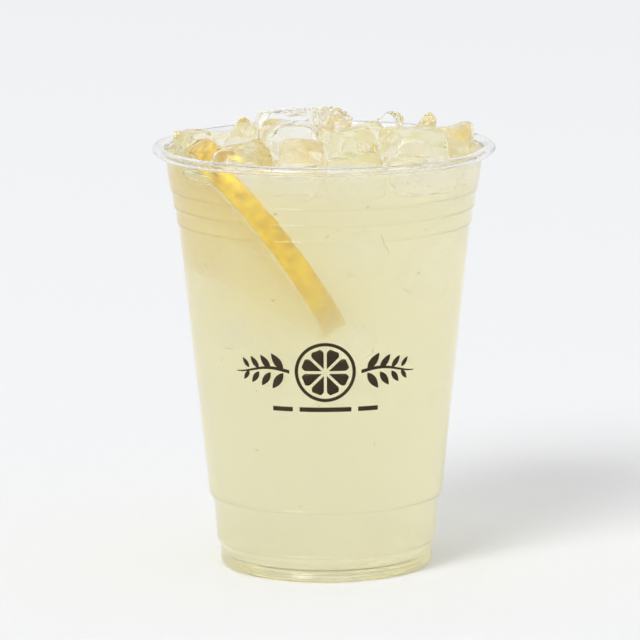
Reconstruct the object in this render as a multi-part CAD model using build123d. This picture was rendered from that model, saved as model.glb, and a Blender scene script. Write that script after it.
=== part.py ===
from build123d import *
import math
import os

# A clear plastic take-away cup filled with iced lemonade and a lemon wheel.
# Millimetres, +Z up. The origin is the centre of the ring that the cup stands on.

# ---- cup: driving dimensions ----
cup_height = 122.0            # standing ring to the top of the rolled rim
rim_diameter = 98.0           # outside of the rolled rim
foot_diameter = 61.0          # outside of the foot
wall = 0.5                    # sheet thickness, walls and base alike
rim_roll_width = 3.7          # rolled rim, across its section
rim_roll_height = 2.8         # rolled rim, top to bottom
rim_roll_gap = 0.9            # open slot between the curled edge and the wall
foot_height = 5.9             # straight foot under the heel groove
foot_rounding = 2.0           # outer edge that the cup stands on
heel_rise = 1.7               # height of the groove above the foot
heel_step = 1.0               # how far the groove steps out
stack_ledge_height = 18.2     # height of the lower nesting ledge
stack_ledge_rise = 2.9        # height over which that ledge steps out
stack_ledge_step = 1.3        # how far it steps out
heel_flare = 0.8              # widening between the heel and the ledge
ring_count = 3                # stiffening rings below the rim
ring_pitch = 4.8              # from one ring to the next
ring_rise = 1.5               # height of one ring's step
ring_step = 0.6               # how far one ring steps out
ring_flare = 0.3              # widening between two rings
top_ring_drop = 12.6          # top ring's upper edge, below the top of the rim
collar_flare = 1.8            # widening from the top ring to the rim
profile_rounding = 1.2        # radius at each bend of the wall
punt_height = 2.6             # recess under the base
punt_ring_width = 3.6         # width of the standing ring round the recess
punt_draft = 1.2              # how much narrower the recess is at its top

# ---- contents: driving dimensions ----
fill_drop = 3.0               # surface of the drink, below the top of the rim
wheel_diameter = 65.0         # lemon wheel
wheel_thickness = 7.0         # lemon wheel, face to face
wheel_edge_rounding = 1.0     # soft edge where the peel meets a cut face
wheel_turn = 12.5             # degrees that the wheel's axis turns from +X towards +Y
wheel_lean = 35.0             # degrees that the wheel leans out of the upright
wheel_rise = 3.8              # how far the wheel stands out of the drink
wheel_wall_gap = 0.6          # between the wheel's edge and the wall that it leans on
melt_radius = 1.3             # rounded edges of an ice block
corner_share = 0.84           # ball that rounds an ice block's corners, in half diagonals
slant_turn = 28.0             # degrees between an ice block and the box that chips its edges
slant_share = 1.06            # that box's size against the block's own
ice_wall_gap = 0.8            # film of drink between an ice block and the wall
ice_rim_gap = 0.3             # between an ice block and the rolled rim

# Each block of ice: where it stands, by its bearing in degrees and its distance from the
# axis as a share of the mouth's radius; how far it stands out of the drink; its width,
# depth and height; and its turn, sideways tilt and forward tilt in degrees. A block gives
# way to those above it in the list where they meet.
ice_blocks = {
    "ice_dome": (329, 0.65, 10.6, 20, 18, 18, 12, 6, 4),
    "ice_middle": (200, 0.20, 11.0, 20, 17, 17, 8, 9, 14),
    "ice_right": (1, 0.83, 8.6, 12, 19, 16, -8, -14, 5),
    "ice_left": (165, 0.88, 6.0, 14, 19, 16, 14, 2, -4),
    "ice_front_low": (254, 0.54, 8.0, 14, 14, 15, -4, 2, 3),
    "ice_centre": (302, 0.33, 9.8, 15, 15, 16, 16, -4, 6),
    "ice_arch": (120, 0.46, 11.4, 21, 17, 18, -6, -5, -8),
    "ice_slanted": (163, 0.50, 9.5, 14, 17, 16, 10, 38, 0),
    "ice_front_left": (233, 0.80, 6.5, 18, 15, 12, 28, 6, 10),
    "ice_front": (284, 0.78, 6.3, 16, 13, 12, -10, -16, 8),
    "ice_knob": (42, 0.56, 10.6, 7, 9, 14, 20, 8, 0),
    "ice_wedge": (16, 0.31, 9.0, 11, 14, 14, 24, -20, 0),
    "ice_nub": (27, 0.73, 9.8, 5.5, 8, 14, 10, 5, 6),
    "ice_crown": (80, 0.31, 13.0, 10, 10, 12, 30, 10, -8),
    "ice_front_right": (309, 0.86, 4.8, 17, 13, 12, 36, 5, 0),
    "ice_between": (208, 0.53, 6.2, 13, 13, 13, 15, -12, 6),
    "ice_inner_right": (4, 0.55, 6.0, 13, 14, 13, 40, 6, -5),
    "ice_back_left": (140, 0.83, 3.0, 18, 16, 14, 44, 4, 0),
    "ice_back": (103, 0.80, 3.6, 20, 16, 14, 6, -5, 4),
    "ice_back_middle": (71, 0.80, 3.0, 17, 15, 13, -28, 6, 0),
    "ice_back_inner": (72, 0.52, 5.6, 13, 13, 12, 12, 4, 8),
    "ice_back_right": (42, 0.84, 4.0, 16, 15, 14, -50, 3, 5),
    "ice_chip_front": (263, 0.85, 2.6, 11, 8, 9, 20, -9, 5),
    "ice_chip_right": (342, 0.89, 2.2, 9, 9, 9, 35, 8, 0),
}

# ---- values worked out from those ----
rim_radius = rim_diameter / 2
foot_radius = foot_diameter / 2
mouth_radius = rim_radius - rim_roll_width
lip_height = cup_height - rim_roll_height / 2
fill_level = cup_height - fill_drop


def ring_outline():
    """Outer radius and height at each end of each stiffening ring, from the bottom up."""
    top_radius = mouth_radius + wall - collar_flare
    points = []
    for ring in reversed(range(ring_count)):
        ring_top = cup_height - top_ring_drop - ring * ring_pitch
        radius = top_radius - ring * (ring_step + ring_flare)
        points.append((radius - ring_step, ring_top - ring_rise))
        points.append((radius, ring_top))
    return points


def wall_outline(inset):
    """The wall's outline from the foot to the lip, moved inwards by inset."""
    heel_radius = foot_radius + heel_step
    ledge_radius = heel_radius + heel_flare
    points = [(foot_radius, foot_height),
              (heel_radius, foot_height + heel_rise),
              (ledge_radius, stack_ledge_height),
              (ledge_radius + stack_ledge_step, stack_ledge_height + stack_ledge_rise)]
    points += ring_outline()
    points += [(mouth_radius + wall, lip_height)]
    return [(radius - inset, height) for radius, height in points]


def turned_solid(inset, bottom):
    """The solid inside the wall's outline, turned about the axis, from bottom to the lip."""
    outline = wall_outline(inset)
    start = (outline[0][0], bottom)
    rounding = foot_rounding - inset
    bends = [rounding] + [profile_rounding] * (len(outline) - 1)
    side = FilletPolyline((0, bottom), start, *outline, radius=bends)
    top = side @ 1
    edges = side.edges() + Polyline(top, (0, top.Y), (0, bottom)).edges()
    section = make_face(edges)
    return revolve(Plane.XZ * section, Axis.Z)


def punt(grow):
    """The recess under the base, grown by grow on every side."""
    base_radius = foot_radius - punt_ring_width + grow
    height = punt_height + grow
    recess = Cone(base_radius, base_radius - punt_draft, height, align=(Align.CENTER, Align.CENTER, Align.MIN))
    return fillet(recess.edges().sort_by(Axis.Z)[-1], profile_rounding)


def rolled_rim():
    """The rim's curl: a flat tube, open in a slot beside the wall."""
    outer = Ellipse(rim_roll_width / 2, rim_roll_height / 2)
    inner = Ellipse(rim_roll_width / 2 - wall, rim_roll_height / 2 - wall)
    slot_place = Pos(wall - rim_roll_width / 2 + rim_roll_gap / 2, -rim_roll_height / 2)
    slot = slot_place * Rectangle(rim_roll_gap, rim_roll_height)
    section = Pos(rim_radius - rim_roll_width / 2, lip_height) * (outer - inner - slot)
    return revolve(Plane.XZ * section, Axis.Z)


def hollow():
    """The space inside the cup, up to the lip."""
    return turned_solid(wall, wall) - punt(wall)


def make_cup():
    shell = turned_solid(0, 0) - hollow() - punt(0)
    return (shell + rolled_rim()).solid()


def inner_radius(height):
    """The inside radius of the wall at a height, between the foot and the lip."""
    outline = wall_outline(wall)
    for (low_radius, low), (high_radius, high) in zip(outline, outline[1:]):
        if height <= high:
            share = max(height - low, 0) / (high - low)
            return low_radius + share * (high_radius - low_radius)
    return outline[-1][0]


def wheel_centre():
    """The wheel's centre: as far back along its own axis as the wall lets its edge go."""
    turn, lean = math.radians(wheel_turn), math.radians(wheel_lean)
    radius = wheel_diameter / 2
    height = fill_level + wheel_rise - radius * math.cos(lean)
    across = (-math.sin(turn), math.cos(turn), 0)
    up_slope = (-math.sin(lean) * math.cos(turn), -math.sin(lean) * math.sin(turn), math.cos(lean))

    def clears(reach):
        for degrees in range(0, 360, 5):
            angle = math.radians(degrees)
            side, up = radius * math.cos(angle), radius * math.sin(angle)
            x = -reach * math.cos(turn) + side * across[0] + up * up_slope[0]
            y = -reach * math.sin(turn) + side * across[1] + up * up_slope[1]
            z = height + up * up_slope[2]
            half_thickness = wheel_thickness / 2
            if math.hypot(x, y) > inner_radius(z) - half_thickness * math.cos(lean) - wheel_wall_gap:
                return False
        return True

    reach = mouth_radius
    while reach > 0 and not clears(reach):
        reach -= 0.25
    return Pos(-reach * math.cos(turn), -reach * math.sin(turn), height)


def room(gap):
    """The space that ice and lemon may take: the inside of the cup, less a gap, and above it."""
    inside = turned_solid(wall + gap, wall + gap) - punt(wall + gap)
    headroom = Cylinder(mouth_radius - ice_rim_gap, cup_height, align=(Align.CENTER, Align.CENTER, Align.MIN))
    return inside + Pos(0, 0, lip_height) * headroom


def make_wheel():
    """The lemon wheel in its place; an edge that would not fit inside the wall is cut off."""
    disc = Cylinder(wheel_diameter / 2, wheel_thickness)
    disc = fillet(disc.edges().filter_by(GeomType.CIRCLE), wheel_edge_rounding)
    lie_down = Rot(0, 90 - wheel_lean, 0)
    wheel = wheel_centre() * Rot(0, 0, wheel_turn) * lie_down * disc
    return largest(wheel & room(wheel_wall_gap / 2))


def ice_block(width, depth, height):
    """A half-melted block: a rounded box, chipped by a turned box, its corners in a ball."""
    block = Box(width, depth, height)
    block = fillet(block.edges(), melt_radius)
    chipper = Box(width * slant_share, depth * slant_share, height * slant_share)
    half_diagonal = math.hypot(width, depth, height) / 2
    block = block & Rot(slant_turn, slant_turn, 0) * chipper
    return block & Sphere(half_diagonal * corner_share)


def largest(shape):
    return max(shape.solids(), key=lambda solid: solid.volume)


def place_ice(taken):
    """Every ice block in its place, cut clear of the wall, of the wheel and of each other."""
    clear_room = room(ice_wall_gap)
    placed = {}
    for name, (bearing, reach, rise, width, depth, height, turn, sideways, forwards) in ice_blocks.items():
        block = Rot(forwards, sideways, turn) * ice_block(width, depth, height)
        top = block.bounding_box().max.Z
        angle = math.radians(bearing)
        distance = reach * mouth_radius
        place = Pos(distance * math.cos(angle), distance * math.sin(angle), fill_level + rise - top)
        block = place * block & clear_room
        for other in [taken, *placed.values()]:
            if block.bounding_box().overlaps(other.bounding_box()):
                block = block - other
        placed[name] = largest(block)
    return placed


def make_drink(pieces):
    """The lemonade: all of the hollow up to the fill level, round what stands in it."""
    level = Box(rim_diameter, rim_diameter, fill_level, align=(Align.CENTER, Align.CENTER, Align.MIN))
    drink = hollow() & level
    for piece in pieces:
        drink = drink - piece
    return largest(drink)


def main():
    os.makedirs("parts", exist_ok=True)
    wheel = make_wheel()
    ice = place_ice(wheel)
    nodes = {"cup": make_cup(), "lemon_wheel": wheel, **ice}
    nodes["drink"] = make_drink([wheel, *ice.values()])
    for name, solid in nodes.items():
        export_step(solid, f"parts/{name}.step")
        print(f"{name}: {solid.volume:.0f} mm3")


main()
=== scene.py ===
import math
import random

import bmesh
import bpy
from mathutils import Euler, Matrix, Vector, noise
from mathutils.bvhtree import BVHTree


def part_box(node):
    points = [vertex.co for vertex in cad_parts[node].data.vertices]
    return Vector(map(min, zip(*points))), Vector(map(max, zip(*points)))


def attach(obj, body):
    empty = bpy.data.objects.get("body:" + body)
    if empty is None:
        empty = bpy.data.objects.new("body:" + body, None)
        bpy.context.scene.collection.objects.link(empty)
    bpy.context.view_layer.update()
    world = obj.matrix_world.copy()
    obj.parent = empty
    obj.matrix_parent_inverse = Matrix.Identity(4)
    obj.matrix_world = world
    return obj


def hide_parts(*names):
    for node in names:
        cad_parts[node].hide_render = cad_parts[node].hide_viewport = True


# A clear plastic take-away cup of cloudy lemonade, heaped with half-melted ice, with a lemon
# wheel in it. Everything is in metres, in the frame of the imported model.

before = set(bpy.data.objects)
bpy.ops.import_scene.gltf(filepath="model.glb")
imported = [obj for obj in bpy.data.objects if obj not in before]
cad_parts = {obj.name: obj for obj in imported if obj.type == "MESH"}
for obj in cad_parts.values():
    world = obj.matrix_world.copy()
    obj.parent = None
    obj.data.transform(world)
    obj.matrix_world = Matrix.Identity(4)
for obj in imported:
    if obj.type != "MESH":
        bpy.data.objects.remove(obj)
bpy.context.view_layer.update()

MM = 0.001
scene = bpy.context.scene

# ---------------- sizes

# What the frame says.
CUP_LOW, CUP_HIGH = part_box("cup")
DRINK_LOW, DRINK_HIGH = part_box("drink")
LEVEL = DRINK_HIGH.z                  # surface of the drink
RIM_RADIUS = CUP_HIGH.x
RIM_TOP = CUP_HIGH.z
WALL = DRINK_LOW.z - CUP_LOW.z        # thickness of the plastic sheet

# The cup: fine beads along the ledge, the heel and the three rings.
RING_BEADS = [RIM_TOP - 12.6 * MM - ring * 4.8 * MM for ring in range(3)]
BEAD_HEIGHTS = [21.0 * MM, 7.5 * MM] + RING_BEADS
BEAD_HALF = 0.5 * MM
BEAD_RISE = 0.15 * MM

# The drink.
DRINK_REACH = 0.2 * MM                # how far the drink reaches into the wall
BODY_START = 1.0 * MM                 # height where its floor turns into its side
CORNER_INSET = 0.5 * MM
FLOOR_STEP, SIDE_STEP = 0.6 * MM, 0.45 * MM
SURFACE_STEP = 0.12                   # along the surface: of the way in, and at least this in mm
LATHE_TURNS = 240                     # steps round a turned surface
MENISCUS_CLIMB = 0.7 * MM             # how far the drink creeps up the wall
MENISCUS_WIDTH = 1.1 * MM
WHEEL_OVERLAP = 0.35 * MM             # how far the lemon wheel reaches into the drink
CAVITY_MARGIN = 0.03 * MM             # a face further than this from the outside is a cavity's
SHARP_ANGLE = math.radians(38)

# The ice.
ICE_VOXEL = 0.55 * MM
ICE_OVERLAP = 0.08 * MM               # how far ice reaches into the drink
MELT_ROUNDS = (8, 14, 22, 34)         # smoothing steps for the blocks' edges, in turn
DOME_ROUNDS = 70                      # for the block that has melted to a dome
SUNKEN_ROUNDS = 22
BROAD_HOLLOWS, SMALL_HOLLOWS = 8 * MM, 2.6 * MM
BLOCK_BEVEL = 0.22                    # share of a block's least size cut off its edges
GRAIN_CELL = 2.2 * MM                 # crushed ice: size and depth of its grains
GRAIN_DEPTH = 1.0 * MM
SURFACE_BAND = 0.1 * MM               # ice this far under the surface counts as in the drink
SUNKEN_COUNT = 9
SUNKEN_TRIES = 4000
SUNKEN_SIZES = (12, 18)               # mm, as are the next two
SUNKEN_HEIGHTS = (40, 106, 98)        # lowest, highest and likeliest
SUNKEN_INSETS = (0.8, 6)              # from the wall
SUNKEN_DIMPLE = 0.8 * MM
SUNKEN_TILT = 0.6                     # radians
BLOCK_REACH = 0.55                    # how far a block reaches from its middle, in its sizes
WHEEL_REACH = (0.62, 0.6)             # the same, off the wheel's face and off its edge
HEAP_REACH = 0.33                     # of a block in the heap, in diagonals of its box
WALL_GAP = 0.45 * MM                  # least room between sunken ice and the wall
CRUMBLED_ICE = ["ice_crown"]
# Ice whose patches are partly a real juice stain and partly a painted amber tint of the lemon seen
# through it.
STAINED_AND_PAINTED_LEMON_ICE = ["ice_crown", "ice_right", "ice_nub", "ice_back_left", "ice_front_low"]
WHITE_ICE = ["ice_middle", "ice_arch", "ice_wedge", "ice_inner_right"]
# Blocks that are melted through from front to back: the passage's width as a share of the
# block's, the ice left over it, and how far it lies to one side as a share of the width.
MELTED_THROUGH = {"ice_middle": (0.56, 2.8 * MM, 0.0), "ice_arch": (0.62, 2.4 * MM, 0.0),
                  "ice_knob": (0.40, 2.4 * MM, -0.06)}
PASSAGE_SILL = 0.6 * MM               # ice left between a passage and the drink

# The lemon wheel.
LEMON_SEGMENTS = 10
LEMON_TURNS = 330
AXIS_ROUNDS = 40                      # rounds of the search for the wheel's axis
LEMON_INSET = 0.15 * MM               # the looks stay this far inside the CAD wheel
LEMON_MESH = 0.5 * MM                 # between rings of points
EDGE_BLUR = 0.15 * MM                 # half the width of the edge of peel; then pith and core
PITH_BLUR, CORE_BLUR = 0.25 * MM, 0.4 * MM
PITH_WOBBLE = 0.35 * MM
SEGMENT_WOBBLE = 0.10                 # radians
FLESH_SINK, FLESH_STREAKS, FLESH_GRAINS = 0.12 * MM, 0.16 * MM, 0.07 * MM
PITH_SINK = 0.10 * MM
ZEST_DEPTH = 1.2 * MM
PITH_DEPTH = 2.6 * MM
TONGUE_DEPTH = 1.6 * MM               # how far the pith runs in between two segments
TONGUE_WIDTH = 3.2 * MM
CORE_RADIUS = 2.6 * MM
MEMBRANE_HALF = 0.33 * MM
PEEL_ROUNDING = 0.9 * MM
PEEL_STEPS = 5
PEEL_PIT = 0.07 * MM
OUT_OF_ROUND = 0.012
PEEL_LEVEL_BLEND = 0.4 * MM                  # from the peel in the drink to darker, browner peel above it

# Small things in the drink and on the rim.
BUBBLE_COUNT = 260
BUBBLE_LEAST, BUBBLE_SPREAD = 0.12 * MM, 0.42 * MM
BUBBLE_DROP, BUBBLE_DEPTH = 3 * MM, 105 * MM     # the first under the surface, and the last
PULP_COUNT = 60
PULP_DROP, PULP_DEPTH = 6 * MM, 95 * MM
PULP_LENGTHS, PULP_WIDTHS = (0.5, 1.5), (0.12, 0.3)     # mm, half of each
OFF_WALL = 5 * MM                     # the furthest in from the wall
CLEAR_OF_ICE = 0.15 * MM
POCKET_ANGLE = math.radians(215.5)
POCKET_TILT = math.radians(-3)
POCKET_DROP = 2.7 * MM                # under the drink's surface
POCKET_INSET = 1.3 * MM
POCKET_RADII = (1.1 * MM, 7.4 * MM, 1.6 * MM)
BEAD_INSET = 1.85 * MM                # from the rim's outside to the top of its roll
# Drops on the rim: bearing in degrees, radius in mm.
DROPS = ((229, 0.75), (224, 0.42), (226.5, 0.3), (236, 0.3), (288, 0.35), (20, 0.5), (95, 0.6),
         (150, 0.45))

# The print.
PRINT_CENTRE = 60.2 * MM              # height of the middle of the print
INK_LIFT = 0.03 * MM                  # print above the wall
INK_THICKNESS = 0.06 * MM
INK_ROWS = 4                          # faces across a stroke
SLICE_UP = 2.2                        # in mm from here on: the slice over the print's middle
SLICE_RADIUS = 8.6
SLICE_RIND = 0.95
SLICE_SEGMENTS = 8
SEGMENT_START, SEGMENT_END = 1.2, SLICE_RADIUS - 1.8
SEGMENT_GAP = 0.42                    # half the gap between two segments
SEGMENT_STEPS = 12
STEM_ENDS = (10.2, 27.0)
STEM_WIDTH = 0.9
STEM_WAVE, STEM_WAVES = 0.9, 0.75
LEAF_PLACES = (12.0, 15.8, 19.4, 22.6)
LEAF_REACH, LEAF_SHRINK = 5.4, 0.75   # of the first pair, and how much less each pair is
RULE_DASHES = ((-15.5, -9.5), (-7.5, 7.5), (9.5, 15.5))
RULE_TOP, RULE_BOTTOM = -8.0, -9.3

# Camera, lamp and the levels of the studio.
CAMERA_PLACE = Vector((-0.0014, -1.611, 0.360))
CAMERA_TARGET = Vector((-0.0014, 0.0, 0.0706))
CAMERA_ROLL = math.radians(-0.34)
CAMERA_LENS = 320.8
LAMP_PLACE, LAMP_TARGET = Vector((-6.0, -9.0, 9.0)), Vector((0, 0, 0.05))
LAMP_SIZE = 6.0
LAMP_ENERGY = 1168
SHOWN_LEVEL = 0.91                    # the world, as the camera sees it
THROUGH_LEVEL = 0.91                  # what clear things are seen against
SIDE_SHARE = 0.30                     # of a level, low down at the sides
BEHIND_SHARE = 0.15                   # of a level, in a band high up behind
MIRRORED_LEVEL = 0.85                 # what clear things mirror
ROOM_LEVEL = 0.25                     # low down in front
SOFT_BOX_LEVEL = 4.5                  # added by the screen over it
SHADE_LEVELS = (0.62, 0.98)           # what lights matt things, from low down to overhead


# ---------------- mesh helpers

def new_object(name, mesh):
    piece = bpy.data.objects.new(name, mesh)
    scene.collection.objects.link(piece)
    return piece


def shade_smooth(mesh):
    mesh.polygons.foreach_set("use_smooth", [True] * len(mesh.polygons))


def new_piece(name, vertices, faces):
    mesh = bpy.data.meshes.new(name)
    mesh.from_pydata(vertices, [], faces)
    mesh.update()
    shade_smooth(mesh)
    return new_object(name, mesh)


def piece_from(work, name):
    """A new object with the mesh that was made in a bmesh."""
    mesh = bpy.data.meshes.new(name)
    work.to_mesh(mesh)
    work.free()
    return new_object(name, mesh)


def modify(piece, kind, **settings):
    """Gives a piece the mesh that a modifier makes of it."""
    modifier = piece.modifiers.new(kind.lower(), kind)
    for name, value in settings.items():
        setattr(modifier, name, value)
    bpy.context.view_layer.update()
    graph = bpy.context.evaluated_depsgraph_get()
    shaped = bpy.data.meshes.new_from_object(piece.evaluated_get(graph))
    piece.modifiers.clear()
    piece.data = shaped


def smooth(piece, rounds):
    modify(piece, "SMOOTH", factor=0.5, iterations=rounds)


def push(piece, amount):
    """Moves every vertex along its normal by amount(position)."""
    mesh = piece.data
    moved = [vertex.co + vertex.normal * amount(vertex.co) for vertex in mesh.vertices]
    for vertex, place in zip(mesh.vertices, moved):
        vertex.co = place
    mesh.update()


def add_attribute(piece, name, values, domain="POINT"):
    attribute = piece.data.attributes.new(name, "FLOAT", domain)
    attribute.data.foreach_set("value", values)


def copy_of_node(node, name):
    """A new object with a closed copy of a CAD node's mesh."""
    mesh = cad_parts[node].data.copy()
    work = bmesh.new()
    work.from_mesh(mesh)
    bmesh.ops.remove_doubles(work, verts=work.verts, dist=0.001 * MM)
    work.to_mesh(mesh)
    work.free()
    mesh.materials.clear()
    return new_object(name, mesh)


def joined(name, pieces):
    """One new object with all the pieces' meshes; the pieces stay."""
    work = bmesh.new()
    for piece in pieces:
        work.from_mesh(piece.data)
    return piece_from(work, name)


def cut(piece, cutter):
    """Cuts one closed piece out of another, and discards the cutter."""
    modify(piece, "BOOLEAN", operation="DIFFERENCE", object=cutter, solver="MANIFOLD")
    bpy.data.objects.remove(cutter)


def lathe(name, outline):
    """A closed solid turned about Z. The outline runs from the axis, round, to the axis."""
    turns = LATHE_TURNS
    first, *middle, last = outline
    vertices = [(0, 0, first[1])]
    for radius, height in middle:
        for turn in range(turns):
            angle = 2 * math.pi * turn / turns
            vertices.append((radius * math.cos(angle), radius * math.sin(angle), height))
    vertices.append((0, 0, last[1]))
    faces = []
    for turn in range(turns):
        following = (turn + 1) % turns
        faces.append((0, 1 + following, 1 + turn))
        for ring in range(len(middle) - 1):
            low, high = 1 + ring * turns, 1 + (ring + 1) * turns
            faces.append((low + turn, low + following, high + following, high + turn))
        top = 1 + (len(middle) - 1) * turns
        faces.append((top + turn, top + following, len(vertices) - 1))
    return new_piece(name, vertices, faces)


def mesh_tree(piece):
    mesh = piece.data
    return BVHTree.FromPolygons([v.co for v in mesh.vertices], [p.vertices for p in mesh.polygons])


def blend_step(low, high, value):
    share = min(max((value - low) / (high - low), 0), 1)
    return share * share * (3 - 2 * share)


def steps(first, last, size):
    """Numbers from first to last, about size apart."""
    count = max(1, round((last - first) / size))
    return [first + (last - first) * step / count for step in range(count + 1)]


def polar(radius, angle, height):
    return Vector((radius * math.cos(angle), radius * math.sin(angle), height))


# ---------------- the cup's inside

cup_tree = mesh_tree(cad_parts["cup"])


def outer_radius(height):
    """Outside radius of the cup's wall at a height."""
    return cup_tree.ray_cast(Vector((2 * RIM_RADIUS, 0, height)), Vector((-1, 0, 0)))[0].x


def inner_radius(height):
    return outer_radius(min(height, LEVEL)) - WALL


def floor_height(radius):
    """Height of the cup's floor, inside, at a radius."""
    return cup_tree.ray_cast(Vector((radius, 0, LEVEL / 2)), Vector((0, 0, -1)))[0].z


# ---------------- node helpers
# Each takes the material or world that it adds nodes to.

def new_material(name):
    material = bpy.data.materials.new(name)
    material.use_nodes = True
    return material


def shader(material):
    return material.node_tree.nodes["Principled BSDF"]


def add_node(owner, kind, **settings):
    node = owner.node_tree.nodes.new(kind)
    for name, value in settings.items():
        setattr(node, name, value)
    return node


def set_inputs(node, values):
    for name, value in values.items():
        node.inputs[name].default_value = value


def link(owner, source, target):
    owner.node_tree.links.new(source, target)


def feed(owner, value, slot):
    """Sets a socket to a number, or links another node's output to it."""
    if isinstance(value, (int, float)):
        slot.default_value = value
    else:
        link(owner, value, slot)


def maths(owner, operation, first, second):
    node = add_node(owner, "ShaderNodeMath", operation=operation)
    feed(owner, first, node.inputs[0])
    feed(owner, second, node.inputs[1])
    return node.outputs[0]


def coordinates(owner, kind):
    """The x, y and z outputs of a texture coordinate."""
    place = add_node(owner, "ShaderNodeTexCoord")
    parts = add_node(owner, "ShaderNodeSeparateXYZ")
    link(owner, place.outputs[kind], parts.inputs[0])
    return parts.outputs["X"], parts.outputs["Y"], parts.outputs["Z"]


def attribute(material, name):
    return add_node(material, "ShaderNodeAttribute", attribute_name=name).outputs["Fac"]


def object_noise(material, scale, detail=3.0, stretch=(1, 1, 1)):
    """Noise fixed to the piece, scale in features per metre."""
    place = add_node(material, "ShaderNodeTexCoord")
    mapping = add_node(material, "ShaderNodeMapping")
    texture = add_node(material, "ShaderNodeTexNoise")
    set_inputs(mapping, {"Scale": stretch})
    set_inputs(texture, {"Scale": scale, "Detail": detail})
    link(material, place.outputs["Object"], mapping.inputs["Vector"])
    link(material, mapping.outputs["Vector"], texture.inputs["Vector"])
    return texture.outputs["Fac"]


def bump(material, heights, strength):
    """Bump from pairs of height output and depth in metres, one after the other."""
    normal = None
    for height, depth in heights:
        node = add_node(material, "ShaderNodeBump")
        set_inputs(node, {"Strength": strength, "Distance": depth})
        link(material, height, node.inputs["Height"])
        if normal is not None:
            link(material, normal, node.inputs["Normal"])
        normal = node.outputs["Normal"]
    link(material, normal, shader(material).inputs["Normal"])


def spread(material, source, low, high):
    """A noise output brought to the range from low to high."""
    node = add_node(material, "ShaderNodeMapRange")
    set_inputs(node, {"From Min": 0.3, "From Max": 0.7, "To Min": low, "To Max": high})
    link(material, source, node.inputs["Value"])
    return node.outputs["Result"]


def spread_to(material, name, source, low, high):
    """Drives one of the shader's sockets with a noise output."""
    link(material, spread(material, source, low, high), shader(material).inputs[name])


def mixed_colour(material, factor, first, second):
    """A colour between two; each is a colour or another node's output."""
    node = add_node(material, "ShaderNodeMix", data_type="RGBA")
    link(material, factor, node.inputs["Factor"])
    for value, slot in ((first, node.inputs[6]), (second, node.inputs[7])):
        if isinstance(value, tuple):
            slot.default_value = (*value, 1)
        else:
            link(material, value, slot)
    return node.outputs[2]


def patchy_colour(material, source, first, second):
    """A colour that goes from one to another with a noise output."""
    return mixed_colour(material, spread(material, source, 0, 1), first, second)


# ---------------- materials

def make_plastic():
    """Thin thermoformed sheet: clear, glossy, faintly wavy, with a bead along each ring's edge."""
    material = new_material("clear_plastic")
    set_inputs(shader(material), {"Base Color": (0.985, 0.985, 0.985, 1), "IOR": 1.45,
                                  "Transmission Weight": 1.0, "Roughness": 0.015})
    up = coordinates(material, "Object")[2]
    beads = 0.0
    for height in BEAD_HEIGHTS:
        away = maths(material, "ABSOLUTE", maths(material, "SUBTRACT", up, height), 0.0)
        bead = maths(material, "SUBTRACT", 1.0, maths(material, "DIVIDE", away, BEAD_HALF))
        beads = maths(material, "MAXIMUM", bead, beads)
    waves = object_noise(material, 60, detail=1.0, stretch=(1, 1, 0.35))
    grain = object_noise(material, 420, detail=2.0)
    bump(material, [(waves, 0.03 * MM), (grain, 0.0025 * MM), (beads, BEAD_RISE)], 1.0)
    return material


def make_lemonade():
    """Cloudy pale yellow drink: clear surface, scattering and slight absorption inside.

    Where it only meets the ice in it, which has nearly the same index, light goes straight through.
    """
    material = new_material("cloudy_lemonade")
    set_inputs(shader(material), {"Base Color": (0.99, 0.985, 0.94, 1), "IOR": 1.33,
                                  "Transmission Weight": 1.0, "Roughness": 0.0})
    ripple = object_noise(material, 110, detail=1.0)
    bump(material, [(ripple, 0.05 * MM)], 0.5)
    through = add_node(material, "ShaderNodeBsdfTransparent")
    surface = add_node(material, "ShaderNodeMixShader")
    link(material, attribute(material, "cavity"), surface.inputs[0])
    link(material, shader(material).outputs["BSDF"], surface.inputs[1])
    link(material, through.outputs["BSDF"], surface.inputs[2])
    cloud = add_node(material, "ShaderNodeVolumeScatter")
    set_inputs(cloud, {"Color": (1.0, 1.0, 1.0, 1), "Density": 60.0, "Anisotropy": 0.81})
    tint = add_node(material, "ShaderNodeVolumeAbsorption")
    set_inputs(tint, {"Color": (0.953, 0.908, 0.17, 1), "Density": 5.4})
    both = add_node(material, "ShaderNodeAddShader")
    link(material, cloud.outputs["Volume"], both.inputs[0])
    link(material, tint.outputs["Volume"], both.inputs[1])
    output = material.node_tree.nodes["Material Output"]
    link(material, surface.outputs["Shader"], output.inputs["Surface"])
    link(material, both.outputs["Shader"], output.inputs["Volume"])
    return material


def make_ice(name, roughness, colour, stain_and_painted_lemon, clearness):
    """Wet, half-melted ice: clear and dimpled, with patches of frost, and patches of juice stain
    that also carry a painted amber tint of the lemon seen through the ice.
    """
    material = new_material(name)
    set_inputs(shader(material), {"IOR": 1.31})
    # Patches of juice colour: partly a real stain, partly a painted amber tint standing for the
    # lemon seen through the ice.
    juice = spread(material, object_noise(material, 150, detail=3.0), -1.0, 1.4)
    link(material, mixed_colour(material, juice, colour, stain_and_painted_lemon),
         shader(material).inputs["Base Color"])
    frost = object_noise(material, 130, detail=4.0)
    spread_to(material, "Roughness", frost, 0.0, roughness)
    milk = object_noise(material, 75, detail=3.0)
    spread_to(material, "Transmission Weight", milk, 1.0, clearness)
    dimples = object_noise(material, 260, detail=2.0)
    scratches = object_noise(material, 900, detail=3.0)
    bump(material, [(dimples, 0.14 * MM), (scratches, 0.015 * MM)], 0.7)
    return material


def make_ice_below():
    """Ice under the drink's surface: its IOR is that of ice against the drink's."""
    material = new_material("ice_in_drink")
    set_inputs(shader(material), {"Base Color": (0.995, 0.993, 0.985, 1), "IOR": 1.004,
                                  "Transmission Weight": 1.0})
    frost = object_noise(material, 130, detail=4.0)
    spread_to(material, "Roughness", frost, 0.02, 0.08)
    return material


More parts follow.
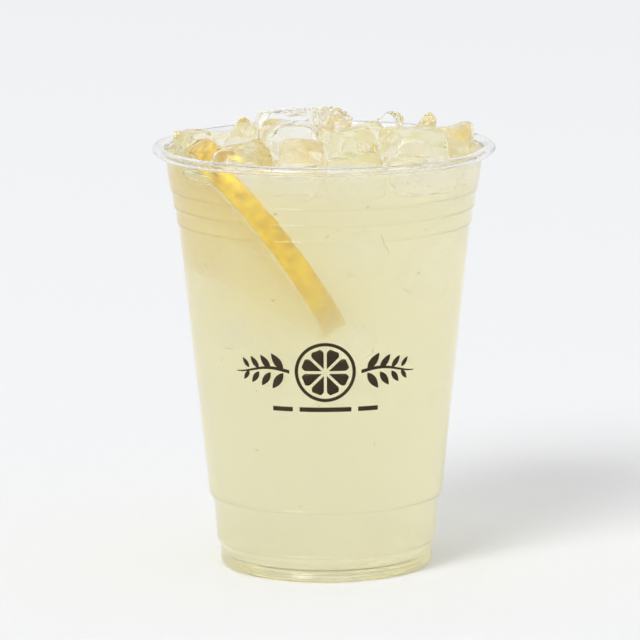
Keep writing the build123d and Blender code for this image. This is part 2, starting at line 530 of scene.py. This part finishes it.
def make_lemon_skin():
    """All of the lemon wheel: the mesh's attributes say where peel, pith and flesh are."""
    material = new_material("cut_lemon")
    speckle = object_noise(material, 520, detail=4.0)
    patches = object_noise(material, 90, detail=3.0)
    pitting = object_noise(material, 340, detail=3.0)
    zest = patchy_colour(material, patches, (0.87, 0.61, 0.006), (0.93, 0.71, 0.025))
    zest = mixed_colour(material, spread(material, pitting, -0.2, 0.8), zest, (0.66, 0.39, 0.004))
    # Peel above the drink's surface is darker and browner.
    peel_above_drink = mixed_colour(material, spread(material, pitting, -0.2, 1.2),
                        (0.70, 0.50, 0.10), (0.42, 0.26, 0.02))
    zest = mixed_colour(material, attribute(material, "above_drink"), zest, peel_above_drink)
    pith = patchy_colour(material, patches, (0.90, 0.84, 0.58), (0.93, 0.89, 0.70))
    juice = patchy_colour(material, speckle, (0.83, 0.62, 0.16), (0.90, 0.76, 0.34))
    membrane = (0.91, 0.83, 0.52)
    colour = mixed_colour(material, attribute(material, "flesh"), membrane, juice)
    colour = mixed_colour(material, attribute(material, "pith"), colour, pith)
    colour = mixed_colour(material, attribute(material, "zest"), colour, zest)
    link(material, colour, shader(material).inputs["Base Color"])
    set_inputs(shader(material), {"Subsurface Weight": 0.15, "Subsurface Scale": 0.0015,
                                  "Subsurface Radius": (1.0, 0.85, 0.35), "IOR": 1.4,
                                  "Coat Weight": 0.25, "Coat Roughness": 0.15})
    spread_to(material, "Roughness", speckle, 0.3, 0.5)
    pores = add_node(material, "ShaderNodeTexVoronoi", feature="SMOOTH_F1")
    set_inputs(pores, {"Scale": 620})
    place = add_node(material, "ShaderNodeTexCoord")
    link(material, place.outputs["Object"], pores.inputs["Vector"])
    bump(material, [(pores.outputs["Distance"], 0.45 * MM), (speckle, 0.10 * MM)], 0.7)
    return material


def make_pulp_skin():
    """Shreds of pulp: pale, wet and see-through."""
    material = new_material("lemon_pulp")
    set_inputs(shader(material), {"IOR": 1.02, "Transmission Weight": 0.93})
    patches = object_noise(material, 400, detail=2.0)
    colour = patchy_colour(material, patches, (0.99, 0.98, 0.88), (0.98, 0.94, 0.72))
    link(material, colour, shader(material).inputs["Base Color"])
    spread_to(material, "Roughness", patches, 0.15, 0.35)
    bump(material, [(patches, 0.05 * MM)], 0.5)
    return material


def make_bubble():
    """Air in the drink, so its IOR is that of air against the drink's."""
    material = new_material("air_bubble")
    set_inputs(shader(material), {"Base Color": (1, 1, 1, 1), "IOR": 0.75,
                                  "Transmission Weight": 1.0, "Roughness": 0.0})
    film = object_noise(material, 1500, detail=1.0)
    bump(material, [(film, 0.004 * MM)], 0.3)
    return material


def make_water():
    """Drops of drink on the rim."""
    material = new_material("water_drop")
    set_inputs(shader(material), {"Base Color": (1, 0.995, 0.97, 1), "IOR": 1.33,
                                  "Transmission Weight": 1.0, "Roughness": 0.0})
    film = object_noise(material, 800, detail=1.0)
    bump(material, [(film, 0.01 * MM)], 0.3)
    return material


def make_ink():
    """Screen-printed dark brown ink, slightly uneven."""
    material = new_material("brown_ink")
    set_inputs(shader(material), {"Specular IOR Level": 0.2})
    patches = object_noise(material, 300, detail=3.0)
    colour = patchy_colour(material, patches, (0.024, 0.016, 0.006), (0.036, 0.025, 0.011))
    link(material, colour, shader(material).inputs["Base Color"])
    spread_to(material, "Roughness", patches, 0.32, 0.45)
    grain = object_noise(material, 1800, detail=2.0)
    bump(material, [(grain, 0.01 * MM)], 0.5)
    return material


# ---------------- ice

def melt(piece, seed, rounds, dimple=1.1 * MM, fine=0.28 * MM):
    """Melts a block: remeshed, rounded, with hollows that only go inwards."""
    modify(piece, "REMESH", mode="VOXEL", voxel_size=ICE_VOXEL, use_smooth_shade=True)
    smooth(piece, rounds)
    shift = Vector((seed * 1.7, seed * -0.9, seed * 0.6))

    def hollow(place):
        broad = noise.noise(place / BROAD_HOLLOWS + shift)
        small = noise.noise(place / SMALL_HOLLOWS - shift)
        return -dimple * max(0, 0.35 + broad) - fine * (0.5 + 0.5 * small)

    push(piece, hollow)
    smooth(piece, 2)


def crumble(piece, seed):
    """A lump of crushed ice frozen together: rough grains all over."""
    def grains(place):
        cell = noise.voronoi(place / GRAIN_CELL + Vector((seed, 0, 0)))[0]
        return -GRAIN_DEPTH * min(cell[0] * 1.6, 1.0)

    push(piece, grains)


def rounded_block(name, width, depth, height):
    """A box with its edges cut back, ready to be remeshed."""
    work = bmesh.new()
    bmesh.ops.create_cube(work, size=1)
    bmesh.ops.scale(work, vec=(width, depth, height), verts=work.verts)
    bmesh.ops.bevel(work, geom=work.edges[:], offset=BLOCK_BEVEL * min(width, depth, height),
                    segments=3, affect="EDGES")
    return piece_from(work, name)


def melt_through(piece, node, width_share, roof, shift_share):
    """Cuts a passage through a block, from front to back, above the drink."""
    low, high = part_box(node)
    size, middle = high - low, (low + high) / 2
    bottom, top = LEVEL + PASSAGE_SILL, high.z - roof
    cutter = rounded_block("passage", size.x * width_share, size.y * 2, top - bottom)
    place = Vector((middle.x + size.x * shift_share, middle.y, (bottom + top) / 2))
    cutter.data.transform(Matrix.Translation(place))
    cut(piece, cutter)


def split_at_surface(piece, above, below):
    """Gives the faces under the drink's surface the material of ice in drink."""
    mesh = piece.data
    mesh.materials.clear()
    mesh.materials.append(above)
    mesh.materials.append(below)
    for polygon in mesh.polygons:
        polygon.material_index = 1 if polygon.center.z < LEVEL - SURFACE_BAND else 0


def ice_pieces(materials):
    """The heap: each block of the CAD model, melted."""
    pieces = []
    nodes = sorted(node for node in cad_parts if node.startswith("ice_"))
    for seed, node in enumerate(nodes):
        piece = copy_of_node(node, "melted_" + node)
        if node in MELTED_THROUGH:
            melt_through(piece, node, *MELTED_THROUGH[node])
        rounds = DOME_ROUNDS if node == "ice_dome" else MELT_ROUNDS[seed % len(MELT_ROUNDS)]
        melt(piece, seed, rounds)
        if node in CRUMBLED_ICE:
            crumble(piece, seed)
        kind = "stained_and_painted_lemon" if node in STAINED_AND_PAINTED_LEMON_ICE else "white" if node in WHITE_ICE else "clear"
        split_at_surface(piece, materials[kind], materials["below"])
        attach(piece, "root")
        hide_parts(node)
        pieces.append(piece)
    return pieces


def sunken_ice(material, obstacles, wheel):
    """Ice that has sunk beside the wall, clear of the wheel and of the ice above."""
    rng = random.Random(11)
    centre, axis = wheel["centre"], wheel["axis"]
    taken = []
    for obstacle in obstacles:
        corners = [Vector(corner) for corner in obstacle.bound_box]
        diagonal = (corners[6] - corners[0]).length
        taken.append((sum(corners, Vector()) / 8, diagonal * HEAP_REACH))
    off_face, off_edge = WHEEL_REACH
    lowest, highest, likeliest = (height * MM for height in SUNKEN_HEIGHTS)
    pieces = []
    for _ in range(SUNKEN_TRIES):
        if len(pieces) == SUNKEN_COUNT:
            break
        size = rng.uniform(*SUNKEN_SIZES) * MM
        height = rng.triangular(lowest, highest, likeliest)
        angle = rng.uniform(-math.pi, math.pi)
        radius = inner_radius(height) - size * 0.5 - rng.uniform(*SUNKEN_INSETS) * MM
        place = polar(radius, angle, height)
        offset = place - centre
        along = abs(offset.dot(axis))
        beside = (offset - axis * offset.dot(axis)).length
        near_face = along < wheel["thickness"] / 2 + size * off_face
        if near_face and beside < wheel["radius"] + size * off_edge:
            continue
        reach = size * BLOCK_REACH
        if any((place - other).length < reach + clear for other, clear in taken):
            continue
        taken.append((place, reach))
        number = len(pieces) + 1
        depth, rise = size * rng.uniform(0.75, 1), size * rng.uniform(0.7, 1)
        piece = rounded_block(f"sunken_ice_{number:02d}", size, depth, rise)
        tilts = [rng.uniform(-SUNKEN_TILT, SUNKEN_TILT) for _ in range(2)]
        turn = Euler([*tilts, angle])
        piece.data.transform(Matrix.Translation(place) @ turn.to_matrix().to_4x4())
        melt(piece, 40 + number, SUNKEN_ROUNDS, dimple=SUNKEN_DIMPLE)
        keep_off_wall(piece)
        piece.data.materials.append(material)
        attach(piece, "root")
        pieces.append(piece)
    return pieces


def keep_off_wall(piece):
    """Flattens a sunken block where it would reach the cup's wall."""
    for vertex in piece.data.vertices:
        radius = math.hypot(vertex.co.x, vertex.co.y)
        most = inner_radius(vertex.co.z) - WALL_GAP
        if radius > most:
            vertex.co.x *= most / radius
            vertex.co.y *= most / radius
    piece.data.update()


# ---------------- lemon wheel

def wheel_measures():
    """The wheel's centre, axis, radius and thickness, from its CAD node's vertices."""
    low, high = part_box("lemon_wheel")
    centre = (low + high) / 2
    points = [vertex.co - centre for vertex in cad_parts["lemon_wheel"].data.vertices]
    covariance = Matrix([[sum(p[i] * p[j] for p in points) / MM ** 2 for j in range(3)]
                         for i in range(3)])
    axis = Vector((1, 0.3, 0.6))
    inverse = covariance.inverted()
    for _ in range(AXIS_ROUNDS):
        axis = (inverse @ axis).normalized()
    if axis.z < 0:
        axis = -axis
    along = [p.dot(axis) for p in points]
    thickness = max(along) - min(along)
    centre = centre + axis * (max(along) + min(along)) / 2
    radius = max((p - axis * p.dot(axis)).length for p in points)
    return {"centre": centre, "axis": axis, "radius": radius, "thickness": thickness}


def lemon_masks(radius, angle, outer):
    """How much of peel, pith and flesh there is at a place on a cut face."""
    sector = 2 * math.pi / LEMON_SEGMENTS
    around = Vector((math.cos(angle), math.sin(angle), 0))
    wobble = SEGMENT_WOBBLE * noise.noise(around * 2.1 + Vector((0, 0, 4)))
    share = ((angle + wobble) / sector) % 1.0
    beside = min(share, 1 - share) * sector * radius
    pith_edge = outer - ZEST_DEPTH - PITH_DEPTH
    pith_edge -= TONGUE_DEPTH * max(0, 1 - beside / TONGUE_WIDTH) ** 2
    pith_edge += PITH_WOBBLE * noise.noise(around * 5 + Vector((0, 0, 9)))
    zest_edge = outer - ZEST_DEPTH
    zest = blend_step(zest_edge - EDGE_BLUR, zest_edge + EDGE_BLUR, radius)
    pith = blend_step(pith_edge - PITH_BLUR, pith_edge + PITH_BLUR, radius)
    core = 1 - blend_step(CORE_RADIUS - CORE_BLUR, CORE_RADIUS + CORE_BLUR, radius)
    flesh = blend_step(MEMBRANE_HALF * 0.6, MEMBRANE_HALF * 1.8, beside)
    return zest, max(pith, core), flesh * (1 - pith) * (1 - core)


def lemon_relief(radius, angle, masks):
    """How far the cut face stands proud of, or below, its plane."""
    zest, pith, flesh = masks
    cell = radius / (1.3 * MM)
    vesicle = noise.noise(Vector((math.cos(angle) * cell, math.sin(angle) * cell, 3)))
    streak = noise.noise(Vector((angle * 26, radius / (5.5 * MM), 7)))
    height = flesh * (FLESH_STREAKS * streak + FLESH_GRAINS * vesicle - FLESH_SINK)
    return height - PITH_SINK * pith * (1 - zest) * (0.5 + 0.5 * vesicle)


def wheel_section(outer, half):
    """The wheel's outline from one face, over the peel, to the other.

    Each place has its radius, its height, and how far the surface has turned from the face.
    """
    section = [(radius, half, 0.0)
               for radius in steps(LEMON_MESH, outer - PEEL_ROUNDING, 1.1 * LEMON_MESH)]
    for step in range(1, PEEL_STEPS + 1):
        turn = math.pi / 2 * step / PEEL_STEPS
        section.append((outer - PEEL_ROUNDING * (1 - math.sin(turn)),
                        half - PEEL_ROUNDING * (1 - math.cos(turn)), turn))
    for height in steps(half - PEEL_ROUNDING, -half + PEEL_ROUNDING, LEMON_MESH)[1:-1]:
        section.append((outer, height, math.pi / 2))
    section += [(radius, -height, math.pi - turn)
                for radius, height, turn in reversed(section) if turn < math.pi / 2]
    return section


def wheel_point(radius, height, turn, angle, outer):
    """A place on the wheel, and how much of peel, pith and flesh is there."""
    bulge = noise.noise(Vector((math.cos(angle), math.sin(angle), 1.5)))
    outline = outer * (1 - OUT_OF_ROUND * (0.5 + 0.5 * bulge))
    here = radius * outline / outer
    masks = lemon_masks(here, angle, outline)
    if abs(turn - math.pi / 2) <= 0.01:
        masks = (1.0, 0.0, 0.0)
    side = 1 if height > 0 else -1
    raised = lemon_relief(here, angle + (0.3 if side < 0 else 0), masks) * abs(math.cos(turn))
    pit = noise.noise(Vector((angle * 21, height / (1.5 * MM), 2))) * PEEL_PIT * math.sin(turn)
    return tuple(polar(here + min(pit, 0), angle, height + side * raised)), masks


def wheel_faces(rings):
    turns = LEMON_TURNS
    faces = []
    for ring in range(rings - 1):
        low, high = ring * turns, (ring + 1) * turns
        for step in range(turns):
            following = (step + 1) % turns
            faces.append((low + step, high + step, high + following, low + following))
    last = (rings - 1) * turns
    faces.append(tuple(range(turns)))
    faces.append(tuple(last + step for step in reversed(range(turns))))
    return faces


def make_wheel(material, wheel):
    """The lemon wheel: peel, pith, segments and core, as one closed mesh."""
    outer, half = wheel["radius"] - LEMON_INSET, wheel["thickness"] / 2 - LEMON_INSET
    section = wheel_section(outer, half)
    vertices, masks = [], []
    for radius, height, turn in section:
        for step in range(LEMON_TURNS):
            angle = 2 * math.pi * step / LEMON_TURNS
            vertex, mask = wheel_point(radius, height, turn, angle, outer)
            vertices.append(vertex)
            masks.append(mask)
    piece = new_piece("lemon_wheel_cut", vertices, wheel_faces(len(section)))
    rotation = wheel["axis"].to_track_quat("Z", "Y").to_matrix().to_4x4()
    piece.matrix_world = Matrix.Translation(wheel["centre"]) @ rotation
    for number, name in enumerate(("zest", "pith", "flesh")):
        add_attribute(piece, name, [mask[number] for mask in masks])
    heights = [(piece.matrix_world @ Vector(vertex)).z for vertex in vertices]
    low, high = LEVEL - PEEL_LEVEL_BLEND, LEVEL + PEEL_LEVEL_BLEND
    add_attribute(piece, "above_drink", [blend_step(low, high, height) for height in heights])
    piece.data.materials.append(material)
    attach(piece, "root")
    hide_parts("lemon_wheel")
    return piece


# ---------------- the drink

def drink_outline():
    """The drink's section: over the cup's floor, up the wall, and in along the surface."""
    corner = inner_radius(BODY_START) - CORNER_INSET
    points = [(radius, floor_height(radius) - DRINK_REACH)
              for radius in steps(0, corner, FLOOR_STEP)]
    points += [(inner_radius(height) + DRINK_REACH, height)
               for height in steps(BODY_START, LEVEL + MENISCUS_CLIMB, SIDE_STEP)]
    edge = points[-1][0]
    inward = 0.0
    while inward < edge - 3 * MM:
        inward += max(SURFACE_STEP * MM, inward * SURFACE_STEP)
        climb = MENISCUS_CLIMB * math.exp(-inward / MENISCUS_WIDTH)
        points.append((edge - inward, LEVEL + climb))
    points.append((0, LEVEL))
    return points


def mark_cavities(drink, whole):
    """Says which faces of the drink lie against what is in it, not on its own outside."""
    away = [whole.find_nearest(polygon.center)[3] for polygon in drink.data.polygons]
    marks = [1.0 if distance > CAVITY_MARGIN else 0.0 for distance in away]
    add_attribute(drink, "cavity", marks, "FACE")


def make_drink(material, ice, wheel_cutter):
    """The drink's body, cut round the ice and the lemon wheel."""
    drink = lathe("lemonade_body", drink_outline())
    whole = mesh_tree(drink)
    ice_cutter = joined("cutters", ice)
    for cutter, overlap in ((ice_cutter, ICE_OVERLAP), (wheel_cutter, WHEEL_OVERLAP)):
        push(cutter, lambda place: -overlap)
        cut(drink, cutter)
    mark_cavities(drink, whole)
    shade_smooth(drink.data)
    drink.data.set_sharp_from_angle(angle=SHARP_ANGLE)
    drink.data.materials.clear()
    drink.data.materials.append(material)
    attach(drink, "root")
    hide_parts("drink")
    return drink


# ---------------- small things in the drink

def ball(work, place, radii, turn=Matrix.Identity(4)):
    """Adds a small ball, or a flattened one, to a bmesh."""
    matrix = Matrix.Translation(place) @ turn @ Matrix.Diagonal((*radii, 1))
    bmesh.ops.create_icosphere(work, subdivisions=3, radius=1.0, matrix=matrix)


def finish_balls(work, name, material):
    piece = piece_from(work, name)
    shade_smooth(piece.data)
    piece.data.materials.append(material)
    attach(piece, "root")
    return piece


def touches(tree, place, size):
    """Whether something of this size would touch the ice."""
    nearest = tree.find_nearest(place)
    return nearest[0] is not None and nearest[3] < size + CLEAR_OF_ICE


def make_bubbles(material, solid_tree):
    """Air bubbles that cling to the inside of the wall, most of them near the ice."""
    rng = random.Random(5)
    work = bmesh.new()
    for _ in range(BUBBLE_COUNT):
        height = LEVEL - BUBBLE_DROP - BUBBLE_DEPTH * rng.random() ** 1.5
        size = BUBBLE_LEAST + BUBBLE_SPREAD * (height / LEVEL) ** 2 * rng.random() ** 3
        angle = rng.uniform(-math.pi, math.pi)
        reach = inner_radius(height) - size - 0.05 * MM - OFF_WALL * rng.random() ** 4
        place = polar(reach, angle, height)
        if not touches(solid_tree, place, size):
            ball(work, place, (size, size, size))
    return finish_balls(work, "air_bubbles", material)


def make_pulp(material, solid_tree):
    """Shreds of lemon pulp that float near the wall."""
    rng = random.Random(17)
    work = bmesh.new()
    for _ in range(PULP_COUNT):
        height = LEVEL - PULP_DROP - PULP_DEPTH * rng.random()
        angle = rng.uniform(-math.pi, math.pi)
        length = rng.uniform(*PULP_LENGTHS) * MM
        reach = inner_radius(height) - length - 0.3 * MM - OFF_WALL * rng.random() ** 2
        place = polar(reach, angle, height)
        turn = Euler([rng.uniform(0, math.pi) for _ in range(3)]).to_matrix().to_4x4()
        width = rng.uniform(*PULP_WIDTHS) * MM
        if not touches(solid_tree, place, length):
            ball(work, place, (width, width * 0.6, length), turn)
    return finish_balls(work, "pulp_shreds", material)


def make_air_pocket(material):
    """A flat pocket of air caught under the rim, against the wall."""
    work = bmesh.new()
    height = LEVEL - POCKET_DROP
    place = polar(inner_radius(height) - POCKET_INSET, POCKET_ANGLE, height)
    turn = Matrix.Rotation(POCKET_ANGLE, 4, "Z") @ Matrix.Rotation(POCKET_TILT, 4, "X")
    ball(work, place, POCKET_RADII, turn)
    return finish_balls(work, "air_pocket", material)


def make_drops(material):
    """Small drops that sit on top of the rolled rim."""
    rng = random.Random(3)
    work = bmesh.new()
    for bearing, size in DROPS:
        radius = RIM_RADIUS - BEAD_INSET + rng.uniform(-0.6, 0.3) * MM
        place = polar(radius, math.radians(bearing), RIM_TOP - 0.05 * MM)
        ball(work, place, (size * MM, size * MM, 0.6 * size * MM))
    return finish_balls(work, "rim_drops", material)


# ---------------- the print
# Each shape is a pair of rows of flat points, in mm, with the band between them inked.

def on_wall(across, up):
    """A flat place on the print, laid round the front of the wall."""
    height = PRINT_CENTRE + up * MM
    radius = outer_radius(height) + INK_LIFT
    angle = -math.pi / 2 + across * MM / outer_radius(PRINT_CENTRE)
    return polar(radius, angle, height)


def ring_shape(centre, inner, outer, count=72):
    left, right = [], []
    for step in range(count + 1):
        angle = 2 * math.pi * step / count
        left.append(centre + polar(inner, angle, 0).xy)
        right.append(centre + polar(outer, angle, 0).xy)
    return left, right


def segment_shape(centre, middle):
    """One segment of the slice; its outer corners are rounded."""
    half_sector = math.pi / SLICE_SEGMENTS
    left, right = [], []
    for step in range(SEGMENT_STEPS + 1):
        radius = SEGMENT_START + (SEGMENT_END - SEGMENT_START) * step / SEGMENT_STEPS
        half = max(half_sector - SEGMENT_GAP / radius, 0.02)
        half *= 1 - max(0, (step - 9) / 3) ** 2 * 0.45
        left.append(centre + polar(radius, middle - half, 0).xy)
        right.append(centre + polar(radius, middle + half, 0).xy)
    return left, right


def leaf_shape(base, tip, width, count=24):
    """A pointed leaf from base to tip."""
    along = tip - base
    side = Vector((-along.y, along.x)).normalized()
    left, right = [], []
    for step in range(count + 1):
        share = step / count
        half = width / 2 * math.sin(math.pi * share) ** 0.8 * (1.15 - 0.3 * share)
        middle = base + along * share
        left.append(middle + side * half)
        right.append(middle - side * half)
    return left, right


def stem_shape(side, count=60):
    """A stem that waves gently and thins out towards its end."""
    start, end = STEM_ENDS
    left, right = [], []
    for step in range(count + 1):
        share = step / count
        across = side * (start + (end - start) * share)
        middle = SLICE_UP + STEM_WAVE * math.sin(2 * math.pi * STEM_WAVES * share)
        half = STEM_WIDTH / 2 * (1 - share) ** 0.6 + 0.08
        left.append((across, middle + half))
        right.append((across, middle - half))
    return left, right


def sprig_shapes(side):
    """A stem with pairs of leaves that get smaller towards its end."""
    shapes = [stem_shape(side)]
    for number, across in enumerate(LEAF_PLACES):
        size = LEAF_REACH - LEAF_SHRINK * number
        for up in (-1, 1):
            base = Vector((side * across, SLICE_UP + 0.45 * up))
            tip = Vector((side * (across + 0.62 * size), SLICE_UP + up * (0.45 + size * 0.86)))
            shapes.append(leaf_shape(base, tip, 0.42 * size))
    return shapes


def print_shapes():
    """A plain citrus slice between two sprigs, over a broken rule."""
    centre = Vector((0.0, SLICE_UP))
    shapes = [ring_shape(centre, SLICE_RADIUS - SLICE_RIND, SLICE_RADIUS)]
    for number in range(SLICE_SEGMENTS):
        shapes.append(segment_shape(centre, (number + 0.5) * 2 * math.pi / SLICE_SEGMENTS))
    for side in (-1, 1):
        shapes += sprig_shapes(side)
    for start, end in RULE_DASHES:
        places = steps(start, end, 1.0)
        shapes.append(([(across, RULE_TOP) for across in places],
                       [(across, RULE_BOTTOM) for across in places]))
    return shapes


def make_print(material):
    """The print, as a thin layer of ink that stands off the wall."""
    vertices, faces = [], []
    for left, right in print_shapes():
        base = len(vertices)
        for start, end in zip(left, right):
            for row in range(INK_ROWS + 1):
                share = row / INK_ROWS
                across = start[0] + (end[0] - start[0]) * share
                up = start[1] + (end[1] - start[1]) * share
                vertices.append(on_wall(across, up))
        for step in range(len(left) - 1):
            for row in range(INK_ROWS):
                corner = base + step * (INK_ROWS + 1) + row
                following = corner + INK_ROWS + 1
                faces.append((corner, corner + 1, following + 1, following))
    piece = new_piece("front_print", vertices, faces)
    work = bmesh.new()
    work.from_mesh(piece.data)
    bmesh.ops.remove_doubles(work, verts=work.verts, dist=0.002 * MM)
    for face in work.faces:
        middle = face.calc_center_median()
        if face.normal.dot(Vector((middle.x, middle.y, 0))) < 0:
            face.normal_flip()
    work.to_mesh(piece.data)
    work.free()
    modify(piece, "SOLIDIFY", thickness=INK_THICKNESS, offset=1)
    piece.data.materials.append(material)
    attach(piece, "root")
    return piece


# ---------------- stage, light and camera

def make_floor():
    bpy.ops.mesh.primitive_plane_add(size=6)
    floor = bpy.context.object
    floor.name = "studio_floor"
    material = new_material("studio_floor")
    set_inputs(shader(material), {"Base Color": (0.715, 0.72, 0.732, 1), "Roughness": 0.9,
                                  "Specular IOR Level": 0.0})
    floor.data.materials.append(material)


def make_world():
    """Soft white studio all round, darker low at the sides, so that clear edges show."""
    world = bpy.data.worlds.new("studio")
    scene.world = world
    world.use_nodes = True
    world.node_tree.nodes.clear()

    def times(first, second):
        return maths(world, "MULTIPLY", first, second)

    def ramp(value, low, high, start, end):
        node = add_node(world, "ShaderNodeMapRange", interpolation_type="SMOOTHSTEP")
        link(world, value, node.inputs["Value"])
        set_inputs(node, {"From Min": low, "From Max": high, "To Min": start, "To Max": end})
        return node.outputs["Result"]

    def band(value, low, high, width):
        """Rises to one over a width from low, and falls to nothing over a width from high."""
        return times(ramp(value, low, low + width, 0.0, 1.0),
                     ramp(value, high, high + width, 1.0, 0.0))

    def mixed(factor, first, second):
        node = add_node(world, "ShaderNodeMix", data_type="FLOAT")
        link(world, factor, node.inputs["Factor"])
        feed(world, first, node.inputs[2])
        feed(world, second, node.inputs[3])
        return node.outputs[0]

    x, y, z = coordinates(world, "Generated")

    # What clear things are seen against: dark low at the sides, and high up behind.
    at_sides = ramp(maths(world, "ABSOLUTE", x, 0.0), 0.80, 0.93, 0.0, 1.0)
    sides = ramp(times(at_sides, ramp(z, 0.25, 0.55, 1.0, 0.0)), 0.0, 1.0, 1.0, SIDE_SHARE)
    behind = times(band(z, 0.50, 0.72, 0.06), ramp(y, 0.1, 0.3, 0.0, 1.0))
    screen_end = ramp(behind, 0.0, 1.0, 1.0, BEHIND_SHARE)
    through_level = times(times(sides, screen_end), THROUGH_LEVEL)

    # What they mirror: the dim room in front, and the lamps' screen over it.
    to_front = ramp(y, -0.5, -0.2, 1.0, 0.0)
    in_front = times(to_front, ramp(z, 0.20, 0.32, 1.0, 0.0))
    soft_box = times(to_front, band(z, 0.34, 0.74, 0.08))
    room = ramp(in_front, 0.0, 1.0, MIRRORED_LEVEL, ROOM_LEVEL)
    mirror_level = times(sides, maths(world, "ADD", room, times(soft_box, SOFT_BOX_LEVEL)))

    # A ray that goes through something clear counts as a glossy one too.
    rays = add_node(world, "ShaderNodeLightPath").outputs
    glossy, through = rays["Is Glossy Ray"], rays["Is Transmission Ray"]
    clear_level = mixed(maths(world, "SUBTRACT", glossy, through), through_level, mirror_level)
    shade_level = ramp(z, -0.2, 0.9, *SHADE_LEVELS)
    level = mixed(maths(world, "MAXIMUM", glossy, through), shade_level, clear_level)
    shown = mixed(rays["Is Camera Ray"], level, SHOWN_LEVEL)
    background = add_node(world, "ShaderNodeBackground")
    set_inputs(background, {"Color": (1, 1, 1, 1)})
    link(world, shown, background.inputs["Strength"])
    output = add_node(world, "ShaderNodeOutputWorld")
    link(world, background.outputs[0], output.inputs["Surface"])


def make_lamp():
    lamp = bpy.data.lights.new("key", "AREA")
    lamp.shape = "DISK"
    lamp.size = LAMP_SIZE
    lamp.energy = LAMP_ENERGY
    holder = new_object("key", lamp)
    holder.location = LAMP_PLACE
    holder.rotation_euler = (LAMP_TARGET - LAMP_PLACE).to_track_quat("-Z", "Y").to_euler()


def make_camera():
    data = bpy.data.cameras.new("camera")
    data.sensor_width = 36
    data.lens = CAMERA_LENS
    data.clip_start = 0.05
    data.clip_end = 30
    camera = new_object("camera", data)
    facing = (CAMERA_TARGET - CAMERA_PLACE).to_track_quat("-Z", "Y").to_matrix().to_4x4()
    roll = Matrix.Rotation(CAMERA_ROLL, 4, "Z")
    camera.matrix_world = Matrix.Translation(CAMERA_PLACE) @ facing @ roll
    scene.camera = camera


def set_up_render():
    scene.view_settings.view_transform = "Standard"
    # Light bounces many times in a cloudy drink, and blurred glossy bounces would lose it.
    scene.cycles.blur_glossy = 0
    scene.cycles.max_bounces = 96
    scene.cycles.transmission_bounces = 96
    scene.cycles.volume_bounces = 48
    scene.cycles.glossy_bounces = 32
    scene.cycles.diffuse_bounces = 4
    scene.cycles.transparent_max_bounces = 32


# ---------------- put together

make_camera()
set_up_render()
make_world()
make_floor()
make_lamp()

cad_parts["cup"].data.materials.clear()
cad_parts["cup"].data.materials.append(make_plastic())

# Each kind of ice has the most frost, its colour, that of the juice in it with the painted amber
# tint of the lemon seen through it, and the least share of light it lets through.
ice_materials = {
    "clear": make_ice("clear_ice", 0.05, (0.985, 0.98, 0.94), (0.95, 0.89, 0.68), 0.92),
    "white": make_ice("white_ice", 0.08, (0.985, 0.985, 0.975), (0.97, 0.96, 0.92), 0.80),
    "stained_and_painted_lemon": make_ice("stained_and_painted_lemon_ice", 0.25, (0.97, 0.95, 0.88), (0.90, 0.76, 0.42), 0.70),
    "below": make_ice_below()}
lemonade = make_lemonade()
wheel_facts = wheel_measures()
heap = ice_pieces(ice_materials)
sunken = sunken_ice(ice_materials["below"], heap, wheel_facts)
make_wheel(make_lemon_skin(), wheel_facts)
make_drink(lemonade, heap + sunken, copy_of_node("lemon_wheel", "wheel_cutter"))
solids = joined("solids", heap + sunken)
solid_tree = mesh_tree(solids)
bpy.data.objects.remove(solids)
bubble = make_bubble()
make_bubbles(bubble, solid_tree)
make_pulp(make_pulp_skin(), solid_tree)
make_air_pocket(bubble)
make_drops(make_water())
make_print(make_ink())
